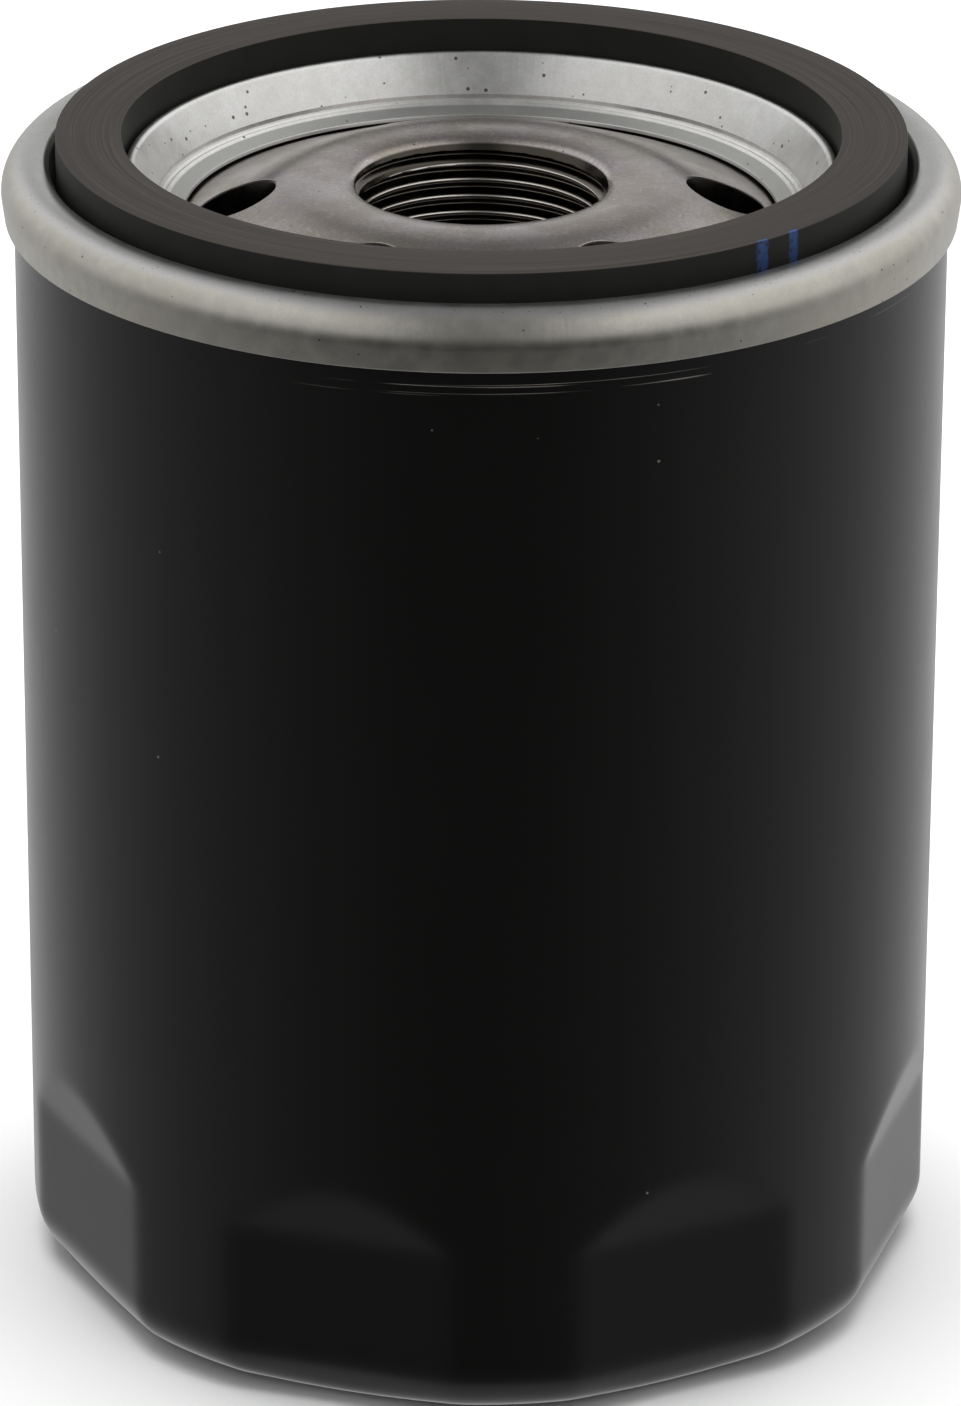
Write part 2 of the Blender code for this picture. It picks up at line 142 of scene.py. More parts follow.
def lathe(name, outline, material, steps=INNER, radius_at=None, sharp=32):
    """Turns a closed outline of (radius, height) points round Z. radius_at reshapes a radius by its angle."""
    bm = bmesh.new()
    rings = []
    for radius, z in outline:
        if radius < 1e-4:
            rings.append([bm.verts.new((0, 0, z))] * steps)
            continue
        ring = []
        for step in range(steps):
            angle = math.tau * step / steps
            r = radius_at(radius, z, angle) if radius_at else radius
            ring.append(bm.verts.new((r * math.cos(angle), r * math.sin(angle), z)))
        rings.append(ring)
    for low, high in zip(rings, rings[1:] + rings[:1]):
        for step in range(steps):
            after = (step + 1) % steps
            corners = list(dict.fromkeys((low[step], low[after], high[after], high[step])))
            if len(corners) > 2:
                bm.faces.new(corners)
    return finish_mesh(bm, name, material, sharp)


def coil(name, material, low, high, turns, wire_r, flat_turns=0.0, steps_per_turn=40, sides=14):
    """A round wire wound from a low (radius, height) to a high one, its ends lying flat for flat_turns."""
    bm = bmesh.new()
    steps = int(turns * steps_per_turn)
    rings = []
    for step in range(steps + 1):
        turn = turns * step / steps
        share = min(1.0, max(0.0, (turn - flat_turns) / (turns - 2 * flat_turns)))
        share = share * share * (3 - 2 * share) * 0.35 + share * 0.65
        radius = low[0] + (high[0] - low[0]) * step / steps
        z = low[1] + (high[1] - low[1]) * share
        outward = Vector((math.cos(math.tau * turn), math.sin(math.tau * turn), 0))
        ring = []
        for side in range(sides):
            around = math.tau * side / sides
            point = outward * (radius + wire_r * math.cos(around))
            ring.append(bm.verts.new((point.x, point.y, z + wire_r * math.sin(around))))
        rings.append(ring)
    for ring, following in zip(rings, rings[1:]):
        for side in range(sides):
            after = (side + 1) % sides
            bm.faces.new((ring[side], ring[after], following[after], following[side]))
    bm.faces.new(rings[0])
    bm.faces.new(rings[-1])
    return finish_mesh(bm, name, material)


def cut(target, tool_bm):
    """Cuts a closed bmesh, in millimetres, from the target's mesh."""
    tool = finish_mesh(tool_bm, target.name + "_cutter", target.data.materials[0])
    modifier = target.modifiers.new("cut", "BOOLEAN")
    modifier.operation = "DIFFERENCE"
    modifier.solver = "EXACT"
    modifier.object = tool
    graph = bpy.context.evaluated_depsgraph_get()
    made = bpy.data.meshes.new_from_object(target.evaluated_get(graph))
    target.modifiers.clear()
    target.data = made
    made.shade_smooth()
    made.set_sharp_from_angle(angle=math.radians(32))
    bpy.data.objects.remove(tool, do_unlink=True)


# ---------------------------------------------------------------- material tools


class Nodes:
    """A short way to write a node tree: each call makes a node and links what it is given."""

    def __init__(self, name, colour, roughness, metallic=0.0, **sockets):
        self.material = bpy.data.materials.new(name)
        self.material.use_nodes = True
        self.tree = self.material.node_tree
        self.shader = self.tree.nodes["Principled BSDF"]
        self.set(self.shader, "Base Color", colour)
        self.set(self.shader, "Roughness", roughness)
        self.set(self.shader, "Metallic", metallic)
        for socket, value in sockets.items():
            self.set(self.shader, socket.replace("_", " "), value)
        self.place = self.add("ShaderNodeTexCoord").outputs["Object"]
        self.split = self.add("ShaderNodeSeparateXYZ", Vector=self.place)

    def set(self, node, socket, value):
        target = node.inputs[socket]
        if isinstance(value, bpy.types.NodeSocket):
            self.tree.links.new(value, target)
        elif isinstance(value, tuple) and target.type == "RGBA":
            target.default_value = (*value, 1.0)
        else:
            target.default_value = value

    def add(self, kind, **sockets):
        node = self.tree.nodes.new(kind)
        for socket, value in sockets.items():
            self.set(node, socket.replace("_", " "), value)
        return node

    def math(self, operation, first, second=0.0):
        node = self.tree.nodes.new("ShaderNodeMath")
        node.operation = operation
        self.set(node, 0, first)
        self.set(node, 1, second)
        return node.outputs[0]

    def product(self, *factors):
        result = factors[0]
        for factor in factors[1:]:
            result = self.math("MULTIPLY", result, factor)
        return result

    def radius(self):
        """Distance from the filter's axis."""
        x, y = self.split.outputs["X"], self.split.outputs["Y"]
        return self.math("SQRT", self.math("ADD", self.product(x, x), self.product(y, y)))

    def height(self):
        """Height above the base."""
        return self.split.outputs["Z"]

    def angle(self):
        """Angle round the axis, in radians, from +X."""
        return self.math("ARCTAN2", self.split.outputs["Y"], self.split.outputs["X"])

    def ramp(self, value, low, high, start=0.0, end=1.0):
        """Value from low to high turned smoothly into start to end."""
        node = self.tree.nodes.new("ShaderNodeMapRange")
        node.interpolation_type = "SMOOTHSTEP"
        for socket, given in zip(RAMP_SOCKETS, (value, low, high, start, end)):
            self.set(node, socket, given)
        return node.outputs["Result"]

    def window(self, value, rise, fall):
        """A mask that comes in over the rise and goes out over the fall, each a (from, to) pair of values."""
        return self.product(self.ramp(value, *rise), self.ramp(value, *fall, 1.0, 0.0))

    def noise(self, size_mm, detail=3.0, rough=0.55, vector=None):
        """Noise from 0 to 1, in lumps of about the given size. A vector replaces the usual coordinates."""
        node = self.add("ShaderNodeTexNoise", Vector=vector or self.place)
        self.set(node, "Scale", 1.0 / (size_mm * MM))
        self.set(node, "Detail", detail)
        self.set(node, "Roughness", rough)
        return node.outputs["Fac"]

    def join(self, x, y, z):
        """Three values as one vector."""
        node = self.tree.nodes.new("ShaderNodeCombineXYZ")
        for socket, value in zip("XYZ", (x, y, z)):
            self.set(node, socket, value)
        return node.outputs["Vector"]

    def polar(self, across_mm, radius_mm, around_mm):
        """Coordinates for marks that run round the axis: fine in height and radius, long round it."""
        x, y = (self.math("DIVIDE", self.split.outputs[axis], around_mm) for axis in "XY")
        deep = self.math("DIVIDE", self.height(), across_mm)
        return self.join(x, y, self.math("ADD", deep, self.math("DIVIDE", self.radius(), radius_mm)))

    def spokes(self, radius_mm, around_mm, along_mm):
        """Coordinates for marks that run out from the axis or up a wall, around_mm apart at radius_mm."""
        radius = self.radius()
        spread = radius_mm / around_mm * MM
        x, y = (self.product(self.math("DIVIDE", self.split.outputs[axis], radius), spread) for axis in "XY")
        return self.join(x, y, self.math("DIVIDE", self.math("ADD", self.height(), radius), along_mm))

    def turned(self, amount):
        """Spreads highlights across fine marks that run round the axis."""
        tangent = self.tree.nodes.new("ShaderNodeTangent")
        tangent.direction_type = "RADIAL"
        tangent.axis = "Z"
        self.set(self.shader, "Anisotropic", amount)
        self.set(self.shader, "Anisotropic Rotation", 0.25)
        self.tree.links.new(tangent.outputs[0], self.shader.inputs["Tangent"])

    def mix(self, factor, first, second):
        node = self.tree.nodes.new("ShaderNodeMix")
        node.data_type = "RGBA"
        self.set(node, 0, factor)
        self.set(node, 6, first)
        self.set(node, 7, second)
        return node.outputs[2]

    def bump(self, height, depth_mm):
        """Raises the surface by up to depth_mm where the height is 1, on top of any earlier bump."""
        node = self.add("ShaderNodeBump", Height=height)
        self.set(node, "Distance", depth_mm * MM)
        self.set(node, "Strength", 1.0)
        previous = self.shader.inputs["Normal"]
        if previous.is_linked:
            self.tree.links.new(previous.links[0].from_socket, node.inputs["Normal"])
        self.tree.links.new(node.outputs["Normal"], previous)


def specks(nodes, spacing_mm, size, share):
    """A mask of small separate spots: one in each cell, on a share of the cells."""
    cells = nodes.add("ShaderNodeTexVoronoi", Vector=nodes.place)
    nodes.set(cells, "Scale", 1.0 / (spacing_mm * MM))
    picked = nodes.add("ShaderNodeSeparateColor", Color=cells.outputs["Color"]).outputs[0]
    spot = nodes.ramp(cells.outputs["Distance"], size * 0.6, size, 1.0, 0.0)
    return nodes.product(spot, nodes.math("LESS_THAN", picked, share))


def black_paint():
    """Stoved black paint: a faint orange peel, a few dust specks, and seaming-roller scuffs under the rim."""
    ink, scraped = (0.0034, 0.0034, 0.0031), (0.30, 0.27, 0.24)
    n = Nodes("black_paint", ink, 0.2, Specular_IOR_Level=0.43)
    n.bump(n.noise(1.6, 2.0), 0.004)
    streak = n.noise(1.0, 1.0, vector=n.polar(0.13, 0.5, 26.0))
    under_rim = n.window(n.height(), (0.0940, 0.0944), (0.0950, 0.0954))
    patch = n.ramp(n.noise(11.0, 1.0), 0.45, 0.6)
    scuff = n.product(n.ramp(streak, 0.63, 0.70), under_rim, patch)
    dust = specks(n, 4.5, 0.035, 0.25)
    marks = n.math("MAXIMUM", n.product(scuff, 0.5), n.product(dust, 0.35))
    wear = n.ramp(n.noise(14.0, 3.0), 0.3, 0.8)
    n.set(n.shader, "Base Color", n.mix(marks, ink, scraped))
    rough = n.math("ADD", n.product(wear, 0.06), 0.17)
    n.set(n.shader, "Roughness", n.math("ADD", rough, n.product(marks, 0.4)))
    return n.material


def plated_steel():
    """Tin-plated sheet: satin inside, painted shade on the band by its bore, warm and pitted where the
    seaming rollers ran.
    """
    n = Nodes("plated_steel", (0.6, 0.6, 0.58), 0.36, 1.0)
    mottle = n.noise(1.6, 4.0)
    cloud = n.ramp(n.noise(9.0, 2.0), 0.4, 0.7)
    inside = n.mix(n.ramp(mottle, 0.3, 0.7), (0.77, 0.765, 0.745), (0.88, 0.875, 0.86))
    inside = n.mix(n.product(cloud, 0.4), inside, (0.74, 0.73, 0.70))
    rolled = n.mix(n.ramp(mottle, 0.3, 0.7), (0.50, 0.485, 0.44), (0.59, 0.57, 0.51))
    rolled = n.mix(n.product(cloud, 0.5), rolled, (0.51, 0.485, 0.42))
    crown = n.ramp(n.height(), (TOP - 2.9) * MM, (TOP - 2.2) * MM)
    rolled = n.mix(crown, rolled, (0.56, 0.555, 0.55))
    outside = n.ramp(n.radius(), 0.0368, 0.0374)
    # painted shade: the band by the bore is given a darker tone
    band = n.product(n.ramp(n.radius(), 0.0267, 0.0270, 1.0, 0.0), n.ramp(n.height(), 0.094, 0.095))
    inside = n.mix(band, inside, (0.64, 0.64, 0.62))
    tone = n.mix(outside, inside, rolled)
    grain = n.ramp(n.noise(0.25, 2.0), 0.35, 0.65)
    tone = n.mix(n.product(grain, 0.12), tone, (0.36, 0.35, 0.33))
    pits = n.math("MAXIMUM", specks(n, 1.1, 0.11, 0.22), specks(n, 2.6, 0.08, 0.2))
    fine_pits = n.product(specks(n, 0.42, 0.22, 0.25), n.product(crown, outside))
    pits = n.math("MAXIMUM", pits, n.product(fine_pits, 0.6))
    slope = n.window(n.radius(), (0.0278, 0.0280), (0.0296, 0.0299))
    pits = n.math("MAXIMUM", pits, n.product(specks(n, 1.3, 0.17, 0.3), slope))
    tone = n.mix(n.product(pits, 0.85), tone, (0.05, 0.045, 0.04))
    n.set(n.shader, "Base Color", tone)
    n.set(n.shader, "Roughness", n.math("ADD", n.product(mottle, 0.16), 0.25))
    n.turned(0.35)
    n.bump(n.noise(0.35, 3.0), 0.004)
    n.bump(n.noise(1.0, 2.0, vector=n.spokes(38.0, 0.3, 6.0)), 0.006)
    return n.material


def bare_steel():
    """Oiled plate: lilac and brown tones, light scuffs, threads darker in the bore with painted highlights on
    their crests and painted shade at the lead-in, and painted shade on the inlets' walls.
    """
    n = Nodes("bare_steel", (0.45, 0.41, 0.4), 0.4, 1.0)
    tone = n.mix(n.ramp(n.noise(6.0, 4.0), 0.32, 0.62), (0.46, 0.425, 0.435), (0.37, 0.335, 0.295))
    tone = n.mix(n.ramp(n.noise(0.7, 5.0, 0.65), 0.50, 0.72, 0.0, 0.6), tone, (0.56, 0.51, 0.47))
    tone = n.mix(n.ramp(n.noise(0.3, 4.0, 0.7), 0.42, 0.66, 0.0, 0.45), tone, (0.27, 0.24, 0.215))
    radius = n.radius()
    near_bore = n.ramp(radius, 0.0125, 0.0160, 1.0, 0.15)
    scuffs = n.ramp(n.noise(0.5, 5.0, 0.7), 0.60, 0.70)
    scuffed = n.product(scuffs, near_bore, n.ramp(n.noise(4.0, 1.0), 0.45, 0.6))
    tone = n.mix(n.product(scuffed, 0.7), tone, (0.90, 0.80, 0.66))
    tone = n.mix(n.product(specks(n, 1.0, 0.12, 0.22), 0.8), tone, (0.05, 0.04, 0.04))
    mouth = n.ramp(n.height(), (TOP - 5.0) * MM, (TOP - 4.8) * MM, 1.0, 0.0)
    in_bore = n.product(n.ramp(radius, 0.01115, 0.01130, 1.0, 0.0), mouth)
    minor_r = THREAD_MINOR_R * MM
    # painted highlight: bright lines along the thread's crests
    crest_highlight = n.ramp(radius, minor_r + 0.00002, minor_r + 0.00007, 1.0, 0.0)
    worn = n.noise(1.0, 3.0, vector=n.polar(1.2, 1.2, 5.0))
    flank = n.mix(n.ramp(worn, 0.3, 0.7), (0.16, 0.14, 0.115), (0.26, 0.235, 0.20))
    # painted shade: the thread's lead-in near the top of the bore is made near black
    flank = n.mix(n.ramp(n.height(), (TOP - 6.9) * MM, (TOP - 6.4) * MM), flank, (0.08, 0.07, 0.058))
    thread = n.mix(crest_highlight, flank, (0.85, 0.81, 0.76))
    # painted shade: the inlets' walls made near black
    tone = n.mix(n.product(inlet_wall_shade(n), 0.9), tone, (0.03, 0.027, 0.025))
    n.set(n.shader, "Base Color", n.mix(in_bore, tone, thread))
    rough = n.math("ADD", n.product(n.noise(3.0, 4.0), 0.20), 0.15)
    n.set(n.shader, "Roughness", n.math("SUBTRACT", rough, n.product(in_bore, 0.10)))
    n.turned(0.45)
    n.bump(n.noise(0.45, 4.0, 0.65), 0.014)
    return n.material


def inlet_wall_shade(n):
    """A mask of the inlets' walls, where painted shade goes: the part of the plate that lies just below the
    dome's surface there.
    """
    radius = n.radius()
    past_shoulder = n.math("DIVIDE", n.math("SUBTRACT", radius, SHOULDER_R * MM), SHOULDER_SPAN * MM)
    spans = n.math("LOGARITHM", n.math("ADD", n.math("EXPONENT", past_shoulder), 1.0), math.e)
    surface = n.math("SUBTRACT", DOME_TOP * MM, n.product(spans, DOME_SLOPE * SHOULDER_SPAN * MM))
    sunk = n.math("SUBTRACT", surface, n.height())
    near_inlets = n.product(n.math("GREATER_THAN", radius, 0.0172), n.math("LESS_THAN", radius, 0.0246))
    return n.product(n.window(sunk, (0.00002, 0.00007), (0.0023, 0.0025)), near_inlets)


def gasket_rubber():
    """Lathe-cut nitrile rubber: fine rings on the cut face, near-black moulded walls, an ink mark outside."""
    n = Nodes("gasket_rubber", (0.05, 0.045, 0.043), 0.7, Specular_IOR_Level=0.35)
    top = n.ramp(n.height(), TOP * MM - 0.00012, TOP * MM - 0.00004)
    ring_lines = n.noise(1.0, 3.0, vector=n.polar(90.0, 0.22, 30.0))
    broad = n.noise(1.0, 2.0, vector=n.polar(90.0, 1.4, 45.0))
    cut_tone = n.mix(n.ramp(ring_lines, 0.3, 0.7), (0.013, 0.0108, 0.0092), (0.035, 0.029, 0.0248))
    cut_tone = n.mix(n.ramp(broad, 0.35, 0.7, 0.0, 0.6), cut_tone, (0.022, 0.019, 0.017))
    cut_tone = n.mix(specks(n, 3.5, 0.035, 0.12), cut_tone, (0.35, 0.33, 0.30))
    wall_tone = n.mix(n.noise(2.0, 3.0), (0.007, 0.007, 0.0062), (0.015, 0.015, 0.0135))
    tone = n.mix(top, wall_tone, cut_tone)
    outer_wall = n.math("GREATER_THAN", n.radius(), GASKET_R * MM - 0.00025)
    ink = n.product(ink_mark(n), outer_wall)
    n.set(n.shader, "Base Color", n.mix(n.product(ink, 0.85), tone, (0.022, 0.062, 0.19)))
    n.set(n.shader, "Roughness", n.math("ADD", n.product(ring_lines, 0.2), 0.5))
    n.bump(n.product(ring_lines, top), 0.03)
    n.bump(n.noise(0.3, 3.0), 0.006)
    return n.material


def ink_mark(n):
    """Two plain blue dashes up the gasket's outer wall, as an inspector's pen leaves them."""
    degrees = n.product(n.angle(), 180.0 / math.pi)
    wobble = n.math("SUBTRACT", n.noise(1.2, 2.0), 0.5)
    along = n.math("ADD", degrees, wobble)
    dashes = 0.0
    for centre, half in ((-50.6, 1.0), (-45.0, 0.8)):
        away = n.math("ABSOLUTE", n.math("SUBTRACT", along, centre))
        dashes = n.math("MAXIMUM", dashes, n.ramp(away, half * 0.75, half * 1.2, 1.0, 0.0))
    patchy = n.ramp(n.noise(0.5, 3.0), 0.33, 0.5)
    return n.product(dashes, patchy)


def inner_rubber(name, colour):
    """Moulded rubber with a fine grain."""
    n = Nodes(name, colour, 0.55, Specular_IOR_Level=0.4)
    darker = tuple(channel * 0.75 for channel in colour)
    n.set(n.shader, "Base Color", n.mix(n.ramp(n.noise(3.0, 3.0), 0.3, 0.7), darker, colour))
    n.set(n.shader, "Roughness", n.math("ADD", n.product(n.noise(1.5, 2.0), 0.2), 0.45))
    n.bump(n.noise(0.25, 3.0), 0.008)
    return n.material


def filter_paper():
    """Resin-treated paper: pressed fibres, cross embossing, and slightly darker folds."""
    n = Nodes("filter_paper", (0.78, 0.64, 0.40), 0.9, Specular_IOR_Level=0.2)
    fibres = n.noise(0.35, 5.0, 0.7)
    tone = n.mix(n.ramp(fibres, 0.3, 0.7), (0.70, 0.54, 0.31), (0.84, 0.71, 0.47))
    radius = n.radius()
    folds = n.math("MAXIMUM", n.ramp(radius, 0.0312, 0.0320), n.ramp(radius, 0.0180, 0.0188, 1.0, 0.0))
    n.set(n.shader, "Base Color", n.mix(n.product(folds, 0.5), tone, (0.55, 0.40, 0.22)))
    emboss = n.math("SINE", n.product(n.height(), math.tau / 0.0024))
    n.bump(n.ramp(emboss, 0.2, 0.9), 0.06)
    n.bump(fibres, 0.02)
    return n.material


def plastisol():
    """Cured adhesive with soft ripples."""
    n = Nodes("plastisol", (0.72, 0.55, 0.30), 0.45, Specular_IOR_Level=0.5)
    n.set(n.shader, "Base Color", n.mix(n.noise(3.0, 2.0), (0.62, 0.44, 0.22), (0.78, 0.62, 0.36)))
    n.set(n.shader, "Roughness", n.math("ADD", n.product(n.noise(2.0, 2.0), 0.3), 0.3))
    n.bump(n.noise(2.5, 2.0), 0.08)
    return n.material


def drawn_metal(name, colour, roughness):
    """Drawn wire or turned metal: fine lines along it and a light film of oil."""
    n = Nodes(name, colour, roughness, 1.0)
    darker = tuple(channel * 0.7 for channel in colour)
    lines = n.noise(1.0, 3.0, vector=n.polar(0.25, 0.25, 4.0))
    n.set(n.shader, "Base Color", n.mix(n.ramp(lines, 0.3, 0.7), darker, colour))
    n.set(n.shader, "Roughness", n.math("ADD", n.product(n.noise(1.2, 2.0), 0.2), roughness - 0.08))
    n.bump(lines, 0.006)
    return n.material


def seam_compound():
    """Dull grey sealing compound, uneven as it was squeezed."""
    n = Nodes("seam_compound", (0.35, 0.36, 0.38), 0.7)
    n.set(n.shader, "Base Color", n.mix(n.noise(1.0, 3.0), (0.28, 0.29, 0.31), (0.42, 0.43, 0.45)))
    n.bump(n.noise(0.6, 3.0), 0.03)
    return n.material


# ---------------------------------------------------------------- the outside


def soft_min(first, second, softness):
    """The lower of two lengths, with the change between them rounded over about the softness."""
    gap = (second - first) / softness
    if gap > 30:
        return first
    if gap < -30:
        return second
    return first - softness * math.log1p(math.exp(-gap))


def can_radius(radius, z, angle):
    """The can's radius with its wrench flats, the ramps above them and rounded edges between."""
    pitch = math.tau / FLATS
    across = (angle - FLAT_TURN + pitch / 2) % pitch - pitch / 2
    above = z - FLAT_TOP
    soft_above = 0.35 * math.log1p(math.exp(min(30.0, above / 0.35)))
    plane = (FLAT_PLANE + soft_above * RAMP_SLOPE) / math.cos(across)
    pressed = CAN_R - soft_min(CAN_R, plane, 0.09)
    share = min(1.0, max(0.0, (radius - CAN_R + CORNER_R) / (CORNER_R - WALL)))
    return radius - pressed * share


def painted_can(material):
    inner_r = CAN_R - WALL
    dense = [CORNER_R + (FLAT_TOP + RAMP_HEIGHT + 3 - CORNER_R) * step / 44 for step in range(1, 45)]
    sparse = [30.0, 45.0, 60.0, 75.0, 88.0, 92.0]
    outer = [(0, 1.2), (24.0, 1.2)]
    outer += [(25.4, 1.12), (26.2, 0.85), (27.0, 0.35), (27.7, 0.08), (28.6, 0)]
    outer += [(CAN_R - CORNER_R, 0)]
    for step in range(1, 13):
        angle = math.radians(90 * step / 12)
        outer.append((CAN_R - CORNER_R + CORNER_R * math.sin(angle), CORNER_R - CORNER_R * math.cos(angle)))
    outer += [(CAN_R, z) for z in dense + sparse]
    edge = TOP - 4.1
    outer += [(CAN_R, edge - 0.1), (CAN_R - 0.1, edge), (inner_r + 0.1, edge), (inner_r, edge - 0.1)]
    inner = [(inner_r, z) for z in reversed(dense[::2] + sparse)]
    for step in range(1, 9):
        angle = math.radians(90 - 90 * step / 8)
        run = CORNER_R - WALL
        inner.append((CAN_R - CORNER_R + run * math.sin(angle), CORNER_R - run * math.cos(angle)))
    inner += [(28.8, WALL), (28.0, 0.7), (27.2, 1.0), (26.4, 1.5), (25.4, 1.75), (24.0, 1.8), (0, 1.8)]
    return lathe("painted_can", outer + inner, material, 320, can_radius)


def plated_lid(material):
    """One sheet: rolled rim, gasket groove, and the slope, step and band that lead in to its bore."""
    roll, centre_r, centre_z, sheet = 2.77, 38.15, TOP - 4.8, 0.5
    floor_z = TOP - 6.4

    def rim(radius, first, last, steps):
        for step in range(steps + 1):
            angle = math.radians(first + (last - first) * step / steps)
            yield centre_r + radius * math.cos(angle), centre_z + radius * math.sin(angle)

    skirt = [(40.2, TOP - 6.97, 0.12), (40.66, TOP - 6.97, 0.15), (40.88, centre_z - 0.4), (38, centre_z)]
    outline = rounded(skirt, 48)[:-2] + list(rim(roll, -6, 110, 40))
    groove = [(37.1, TOP - 2.35), (36.75, TOP - 2.75, 0.6), (36.75, floor_z, 0.5), (30.35, floor_z, 0.4)]
    slope = [(30.35, TOP - 2.6, 0.45), (29.55, TOP - 2.85, 0.6), (27.85, TOP - 6.1, 0.15)]
    step = [(27.8, TOP - 6.5, 0.05), (27.6, TOP - 6.47, 0.1), (27.35, TOP - 6.66, 0.05)]
    band = [(27.15, TOP - 6.57, 0.1), (26.85, TOP - 6.78, 0.05), (25.5, TOP - 7.24, 0.12)]
    under = [(25.4, TOP - 7.62, 0.1), (27.8, TOP - 7.25, 0.3), (28.35, TOP - 6.2, 0.3)]
    under += [(29.4, TOP - 4.3, 0.2), (29.85, TOP - 4.3, 0.2), (29.85, TOP - 6.9, 0.5)]
    under += [(37.1, TOP - 6.9, 0.5), (37.1, TOP - 3.3)]
    inner = groove + slope + step + band + under
    outline += rounded([(38.15, TOP - 2.1)] + inner + [(38.15, TOP - 2.6)], 48)[1:-1]
    outline += list(rim(roll - sheet, 116, -8, 24))
    return lathe("plated_lid", outline, material, FINE, sharp=50)


def thread_radius(radius, z, angle):
    """The bore's radius: a right-hand thread, opened by the lead-in at its top and a chamfer at its end."""
    if abs(radius - THREAD_MINOR_R) > 1e-6:
        return radius
    turns = (z - THREAD_CREST) / THREAD_PITCH - (angle - math.radians(90)) / math.tau
    from_crest = abs((turns + 0.5) % 1.0 - 0.5) * 2
    share = min(1.0, max(0.0, (from_crest - 0.08) / 0.84))
    depth = (THREAD_MAJOR_R - THREAD_MINOR_R) * share * share * (3 - 2 * share)
    lead_in = BORE_EDGE_R - 0.15 - (BORE_EDGE - 0.25 - z) * 0.42
    chamfer = THREAD_MAJOR_R - (z - COLLAR_END) * 0.9
    return max(THREAD_MINOR_R + depth, lead_in, chamfer)


def dome_height(radius):
    """The height of the plate's dome: flat on the boss, then turning over its shoulder into a cone."""
    past_shoulder = (radius - SHOULDER_R) / SHOULDER_SPAN
    return DOME_TOP - DOME_SLOPE * SHOULDER_SPAN * math.log1p(math.exp(past_shoulder))


def inlet_cutters():
    """A closed plug for each inlet: a straight wall that flares into the rounded edge left by the punch."""
    edge, sides = 0.2, 56
    foot = TOP - 16
    profile = [(0.0, None), (0.0, -edge)]
    for step in range(1, 6):
        angle = math.radians(14 * step)
        profile.append((edge * (1 - math.cos(angle)), edge * (math.sin(angle) - 1)))
    profile.append((profile[-1][0], 3.0))
    plugs = bmesh.new()
    for hole in range(INLETS):
        turn = INLET_TURN + math.tau * hole / INLETS
        centre = Vector((math.cos(turn), math.sin(turn))) * INLET_CIRCLE_R
        rings = []
        for flare, above in profile:
            ring = []
            for side in range(sides):
                around = math.tau * side / sides
                out = Vector((math.cos(around), math.sin(around))) * (INLET_R + flare)
                x, y = centre + out
                height = foot if above is None else dome_height(math.hypot(x, y)) + above
                ring.append(plugs.verts.new((x, y, height)))
            rings.append(ring)
        for low, high in zip(rings, rings[1:]):
            for side in range(sides):
                after = (side + 1) % sides
                plugs.faces.new((low[side], low[after], high[after], high[side]))
        plugs.faces.new(rings[0])
        plugs.faces.new(rings[-1])
    return plugs


def threaded_plate(material):
    """The domed plate with its rolled boss, threaded collar and inlet holes."""
    top = [(BORE_EDGE_R + 0.05, BORE_EDGE), (11.3, TOP - 4.58), (11.8, TOP - 4.46), (12.6, TOP - 4.36)]
    top += [(radius / 2, dome_height(radius / 2)) for radius in range(27, 53)]
    top += [(26.3, TOP - 8.14), (26.6, TOP - 8.19), (27.0, TOP - 8.2)]
    edge = [(33.9, TOP - 8.2), (34.0, TOP - 8.3), (34.0, TOP - 10.7), (33.9, TOP - 10.8), (26.4, TOP - 10.8)]
    under = [(25.4, TOP - 10.55), (24.6, TOP - 10.1), (22.5, TOP - 9.3), (20.5, TOP - 8.6)]
    under += [(18.5, TOP - 7.95), (16.8, TOP - 7.6), (15.2, TOP - 7.65), (14.2, TOP - 8.0)]
    under += [(13.75, TOP - 8.6), (13.6, TOP - 9.4)]
    collar = [(13.6, COLLAR_END + 0.3), (13.3, COLLAR_END), (11.1, COLLAR_END)]
    rows = 220
    start, end = COLLAR_END + 0.1, BORE_EDGE - 0.12
    bore = [(THREAD_MINOR_R, start + (end - start) * row / rows) for row in range(rows + 1)]
    outline = top + edge + under + collar + bore
    plate = lathe("threaded_plate", outline, material, FINE, thread_radius, sharp=40)
    cut(plate, inlet_cutters())
    return plate


def gasket(material):
    low = TOP - 6.1
    corners = [(GASKET_BORE_R, low, 0.2), (GASKET_R, low, 0.2)]
    corners += [(GASKET_R, TOP, 0.07), (GASKET_BORE_R, TOP, 0.07)]
    return lathe("square_gasket", rounded(corners, 32), material, FINE, sharp=50)


# ---------------------------------------------------------------- the inside


def drainback_diaphragm(material):
    """Hub, thin coned web and bead lip, as one moulding."""
    hub, lip = DIAPHRAGM_HUB, DIAPHRAGM_LIP
    corners = [(11.6, hub, 0.3), (15.0, hub, 0.5), (17.0, hub + 0.7, 1.0), (26.5, hub + 3.9, 1.0)]
    corners += [(29.2, lip - 0.6, 0.25), (29.0, lip - 0.02, 0.25), (27.6, lip - 0.2, 0.3)]
    corners += [(26.2, lip - 0.8, 1.0), (17.0, hub + 1.8, 1.0), (15.6, hub + 2.2, 0.4)]
    corners += [(15.3, hub + 3.8, 0.25)]
    corners += [(13.95, hub + 3.8, 0.2), (13.95, hub + 1.5, 0.1), (11.6, hub + 1.5, 0.3)]
    return lathe("drainback_diaphragm", rounded(corners), material)


def top_cap(material):
    top, neck = 83.4, 86.3
    corners = [(33.0, top - 4, 0.1), (33.5, top - 4, 0.1), (33.5, top, 0.8), (18.2, top, 1.0)]
    corners += [(16.9, neck, 0.6), (12.3, neck, 0.15), (12.3, neck - 0.5, 0.15), (16.4, neck - 0.5, 0.3)]
    corners += [(17.5, top - 0.5, 0.8), (33.0, top - 0.5, 0.4)]
    return lathe("pressed_top_cap", rounded(corners), material)


